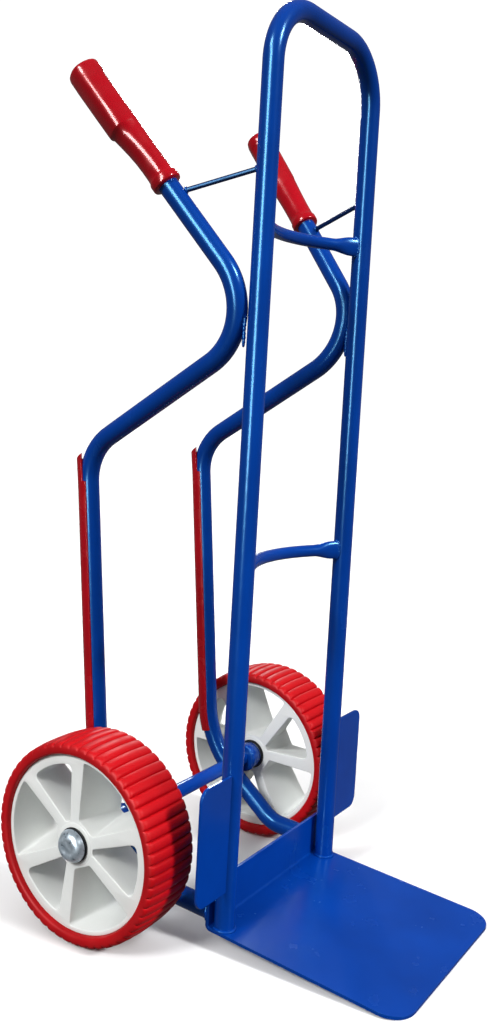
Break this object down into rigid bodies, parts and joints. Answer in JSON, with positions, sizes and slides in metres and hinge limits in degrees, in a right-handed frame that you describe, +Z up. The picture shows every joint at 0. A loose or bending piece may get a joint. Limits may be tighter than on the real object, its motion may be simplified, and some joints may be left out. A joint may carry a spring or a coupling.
{
  "type": "hand truck",
  "caption": "Upright sack truck of bent steel tube with an arched back, rearward bent handles with grips, a toe plate and spoked wheels that turn on a fixed axle",
  "frame": {"origin": "centre of the bounding box on the floor, standing upright on the wheels and the toe plate's front edge", "axes": "+X to the right seen from the front, +Y to the rear, where the handles are, +Z up; the toe plate points to -Y"},
  "size_m": [0.499, 0.522, 1.1436],
  "materials": {
    "blue_paint": "gloss",
    "dark_paint": "satin",
    "red_plastic": "gloss",
    "red_tyre": "satin",
    "white_plastic": "satin",
    "nylon": "matte",
    "zinc": "satin"
  },
  "bodies": {
    "frame": {"backrest_loop": "blue_paint", "toe_plate": "blue_paint", "axle": "blue_paint", "upper_crossbar": "blue_paint", "lower_crossbar": "blue_paint", "left_side_tube": "blue_paint", "left_strut": "dark_paint", "left_guard_plate": "blue_paint", "left_axle_sleeve": "blue_paint", "left_grip": "red_plastic", "left_skid_strip": "red_plastic", "left_inner_washer": "zinc", "left_outer_washer": "zinc", "left_cap": "zinc", "left_lower_rivet": "zinc", "left_upper_rivet": "zinc", "right_side_tube": "blue_paint", "right_strut": "dark_paint", "right_guard_plate": "blue_paint", "right_axle_sleeve": "blue_paint", "right_grip": "red_plastic", "right_skid_strip": "red_plastic", "right_inner_washer": "zinc", "right_outer_washer": "zinc", "right_cap": "zinc", "right_lower_rivet": "zinc", "right_upper_rivet": "zinc"},
    "left_wheel": {"left_tyre": "red_tyre", "left_rim": "white_plastic", "left_inner_bush": "nylon", "left_outer_bush": "nylon"},
    "right_wheel": {"right_tyre": "red_tyre", "right_rim": "white_plastic", "right_inner_bush": "nylon", "right_outer_bush": "nylon"}
  },
  "joints": [
    {"name": "left_wheel_spin", "type": "hinge", "parent": "frame", "child": "left_wheel", "pos_m": [-0.1997, 0.13407, 0.12699], "axis": [1, 0, 0], "continuous": true},
    {"name": "right_wheel_spin", "type": "hinge", "parent": "frame", "child": "right_wheel", "pos_m": [0.1997, 0.13407, 0.12699], "axis": [1, 0, 0], "continuous": true}
  ]
}
